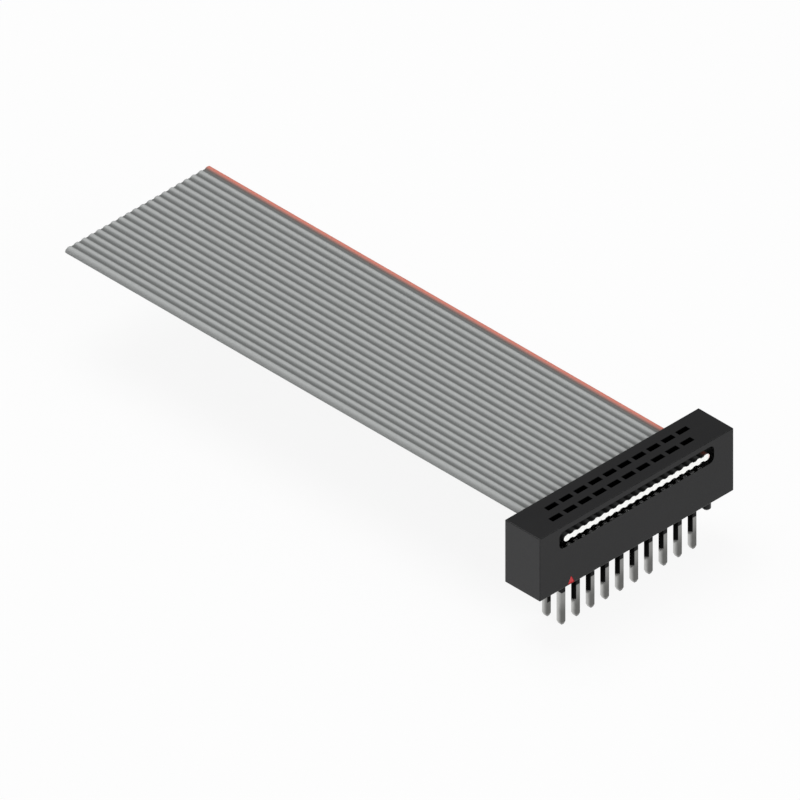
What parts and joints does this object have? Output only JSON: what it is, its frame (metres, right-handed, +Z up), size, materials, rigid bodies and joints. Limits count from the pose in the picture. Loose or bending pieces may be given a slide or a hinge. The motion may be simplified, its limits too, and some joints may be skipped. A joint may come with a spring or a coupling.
{
  "type": "flat ribbon cable",
  "caption": "Short flat ribbon cable that ends in a black board connector with two rows of solder pins",
  "frame": {"origin": "middle of the pin field on the housing's underside, on the circuit board's surface", "axes": "+Z up out of the board, +Y along the cable away from the connector, +X along the connector from pin one towards the cable's marked edge"},
  "size_m": [0.0338, 0.0871, 0.0162],
  "materials": {
    "housing": "fine satin moulding, black",
    "jacket": "soft grey vinyl, slight sheen",
    "contact": "bright tin plating",
    "wire": "tinned copper strands"
  },
  "bodies": {
    "root": {"housing": "housing", "ribbon_jacket": "jacket", "contact_01": "contact", "contact_02": "contact", "contact_03": "contact", "contact_04": "contact", "contact_05": "contact", "contact_06": "contact", "contact_07": "contact", "contact_08": "contact", "contact_09": "contact", "contact_10": "contact", "contact_11": "contact", "contact_12": "contact", "contact_13": "contact", "contact_14": "contact", "contact_15": "contact", "contact_16": "contact", "contact_17": "contact", "contact_18": "contact", "contact_19": "contact", "contact_20": "contact", "wire_01": "wire", "wire_02": "wire", "wire_03": "wire", "wire_04": "wire", "wire_05": "wire", "wire_06": "wire", "wire_07": "wire", "wire_08": "wire", "wire_09": "wire", "wire_10": "wire", "wire_11": "wire", "wire_12": "wire", "wire_13": "wire", "wire_14": "wire", "wire_15": "wire", "wire_16": "wire", "wire_17": "wire", "wire_18": "wire", "wire_19": "wire", "wire_20": "wire"}
  },
  "joints": []
}
